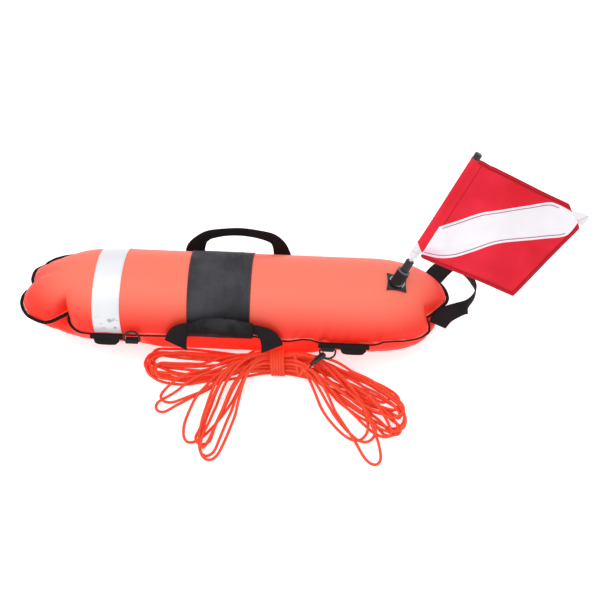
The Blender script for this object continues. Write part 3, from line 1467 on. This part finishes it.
def braided_rope():
    shade = Finish("orange_braid", 0.62, 0.3)
    along, around = shade.run_of()
    pitch = 0.0042
    girth = 0.0157
    one = (along / pitch + around / girth * 4.0).wave(1.0)
    two = (along / pitch - around / girth * 4.0).wave(1.0)
    strands = one.most(two)
    tint = shade.mix(strands.fade(-0.4, 1.0), (0.94, 0.036, 0.014), (1.0, 0.128, 0.056))
    worn = shade.noise(38.0, 3.0).fade(0.52, 0.72)
    shade.put("Base Color", shade.mix(worn * 0.25, tint, (1.0, 0.20, 0.09)))
    shade.put("Emission Color", (1.0, 0.050, 0.020))
    shade.put("Emission Strength", 0.09)
    shade.bump(strands, 0.0005, 0.7)
    return shade


def spaced(points, step):
    """The polyline through the points again, with its points an even step apart."""
    along = runs(points)
    count = max(int(along[-1] / step), 1)
    out = []
    k = 0
    for i in range(count + 1):
        want = along[-1] * i / count
        while k < len(points) - 2 and along[k + 1] < want:
            k += 1
        span = max(along[k + 1] - along[k], 0.000001)
        out.append(points[k].lerp(points[k + 1], (want - along[k]) / span))
    return out


def fall(end, index, lane_in, lane_out):
    """The loop's route on the floor from the lane it leaves to the lane it comes back in."""
    way, reach, wide = (LEFT_FALLS if end < 0 else RIGHT_FALLS)[index]
    start = WAIST + Vector((end * WAIST_LENGTH / 2.0, 0.0))
    turn = math.radians(way)
    tip = WAIST + Vector((math.cos(turn), math.sin(turn))) * reach
    bend = start + Vector((end, -0.10)) * reach * 0.36
    side = 1.0 if lane_in < 0.0 else -1.0
    shares = ((0.0, 0.0), (0.10, 0.04), (0.28, 0.34), (0.50, 0.78), (0.72, 1.0), (0.88, 0.82),
              (0.97, 0.44))
    places = [(f, lane_in * (1.0 - w) * WAIST_LANE - side * wide * w) for f, w in shares]
    places.append((1.0, 0.0))
    places += [(f, lane_out * (1.0 - w) * WAIST_LANE + side * wide * w)
               for f, w in reversed(shares)]
    route = []
    for f, off in places:
        middle = start * (1.0 - f) ** 2 + bend * 2.0 * f * (1.0 - f) + tip * f * f
        along = ((bend - start) * (1.0 - f) + (tip - bend) * f).normalized()
        across = Vector((-along.y, along.x)) * end
        route.append((middle + across * off).to_3d())
    return smooth_line(route, 90)


def plan():
    """The line's whole way over the floor, seen from above, from its first lane to its last."""
    points = fall(-1, 0, 4.0, LANES[0])
    for k, lane in enumerate(LANES):
        heading = -1 if k % 2 else 1
        for share in (-0.3, 0.0, 0.3):
            x = WAIST.x + heading * share * WAIST_LENGTH
            points.append(Vector((x, WAIST.y + lane * WAIST_LANE, 0.0)))
        if k + 1 < len(LANES):
            points += fall(heading, (k + 1) // 2, lane, LANES[k + 1])
    points.append(points[-1] + Vector((0.012, 0.0, 0.0)))
    return spaced(points, STEP)


def draped(route):
    """Lays the route down: each stretch rests on the floor or over what already lies there."""
    flat = np.array([(p.x, p.y) for p in route])
    count = len(flat)
    off_waist = np.abs(flat - np.array(WAIST)) - np.array((WAIST_LENGTH / 2.0, 0.020))
    near = np.hypot(*np.maximum(off_waist, 0.0).T)
    ground = ROPE / 2.0 + WAIST_RISE * np.exp(-(near / 0.045) ** 2)
    height = ground.copy()
    clear = ROPE * 0.985
    skip = 7
    reach = 9
    window = np.arange(-reach, reach + 1)
    hump = BEND_LIMIT * (window * STEP) ** 2
    block = 40
    for first in range(0, count, block):
        last = min(first + block, count)
        need = ground[first:last].copy()
        for i in range(max(first, skip + 1), last):
            laid = i - skip
            apart = np.hypot(*(flat[:laid] - flat[i]).T)
            close = apart < clear
            if close.any():
                over = height[:laid][close] + np.sqrt(clear ** 2 - apart[close] ** 2)
                need[i - first] = max(need[i - first], over.max())
        padded = np.concatenate([height[max(first - reach, 0):first], need])
        offset = len(padded) - len(need)
        for i in range(len(need)):
            beside = i + offset + window
            inside = (beside >= 0) & (beside < len(padded))
            height[first + i] = (padded[beside[inside]] - hump[inside]).max()
    eased = np.max([np.roll(height, -w) - drop for w, drop in zip(window, hump)], axis=0)
    kernel = np.array((1.0, 3.0, 5.0, 6.0, 5.0, 3.0, 1.0)) / 24.0
    eased = np.convolve(np.pad(eased, 3, mode="edge"), kernel, mode="valid")
    return [Vector((p.x, p.y, float(h))) for p, h in zip(route, eased)]


def wrap_turns(top):
    """Turns of the line's free end round the waist, from its tucked end to the floor."""
    half_wide = 3.0 * WAIST_LANE + ROPE * 1.04
    low = ROPE / 2.0
    middle = (low + top) / 2.0
    half_high = (top - low) / 2.0
    points = []
    for k in range(WRAPS * 40 + 1):
        share = k / 40.0
        turn = 2.0 * math.pi * share
        points.append(Vector((WAIST.x + WRAP_PITCH * (WRAPS / 2.0 - share),
                              WAIST.y + half_wide * squarish(math.cos(turn), 0.42),
                              middle - half_high * squarish(math.sin(turn), 0.42))))
    return points


# The knot's lower end, where the line leaves it, and the way the line hangs there
KNOT_END = Vector((0.1337, -0.1217, 0.0404))
DOWN = Vector((-0.7071, -0.2876, -0.6459)).normalized()


def make_line(rope):
    lying = draped(plan())
    at_waist = [p.z for p in lying
                if abs(p.x - WAIST.x) < WAIST_LENGTH / 2.0 and abs(p.y - WAIST.y) < 0.019]
    wraps = wrap_turns(max(at_waist) + ROPE * 1.02)
    join = wraps[-1] + Vector((-0.010, 0.004, 0.0))
    end = lying[-1]
    lead = [end, end + Vector((0.010, 0.0, 0.001)), KNOT_END + DOWN * 0.011, KNOT_END]
    points = spaced(wraps + [join] + lying[6:] + smooth_line(lead, 10)[1:], 0.0042)
    length = runs(points)[-1]
    mesh = tube_mesh("floating_line", points, ROPE / 2.0, 8)
    piece = dress("floating_line", mesh, rope, "float", "orange_line", "rope_hank", "rope_lead")


# The line's end is made fast to the swivel eye with a small loop and a barrel knot.
def make_loop_and_knot(rope):
    middle = Vector((0.14385, -0.11758, 0.04978))
    loop_long = 0.0054
    loop_wide = 0.0048
    knot_radius = 0.0030
    knot_turns = 2.4
    side = DOWN.cross(Vector((0.9, -0.3, 0.2))).normalized()
    across = DOWN.cross(side)
    loop = []
    for a in turns(48):
        pinch = 1.0 - 0.25 * max(-math.cos(a), 0.0)
        loop.append(middle - DOWN * loop_long * math.cos(a)
                    + side * loop_wide * math.sin(a) * pinch)
    coil = []
    for k in range(61):
        share = k / 60.0
        a = 2.0 * math.pi * knot_turns * share
        coil.append(KNOT_END + DOWN * (0.0052 * share - 0.0075)
                    + (side * math.cos(a) + across * math.sin(a)) * knot_radius)
    for name, points, closed, node in (("end_loop", loop, True, "rope_loop"),
                                       ("end_knot", coil, False, "rope_knot")):
        mesh = tube_mesh(name, points, ROPE / 2.0, 12, closed)
        dress(name, mesh, rope, "swivel_eye", "orange_line", node)


orange_rope = braided_rope()
make_line(orange_rope)
make_loop_and_knot(orange_rope)
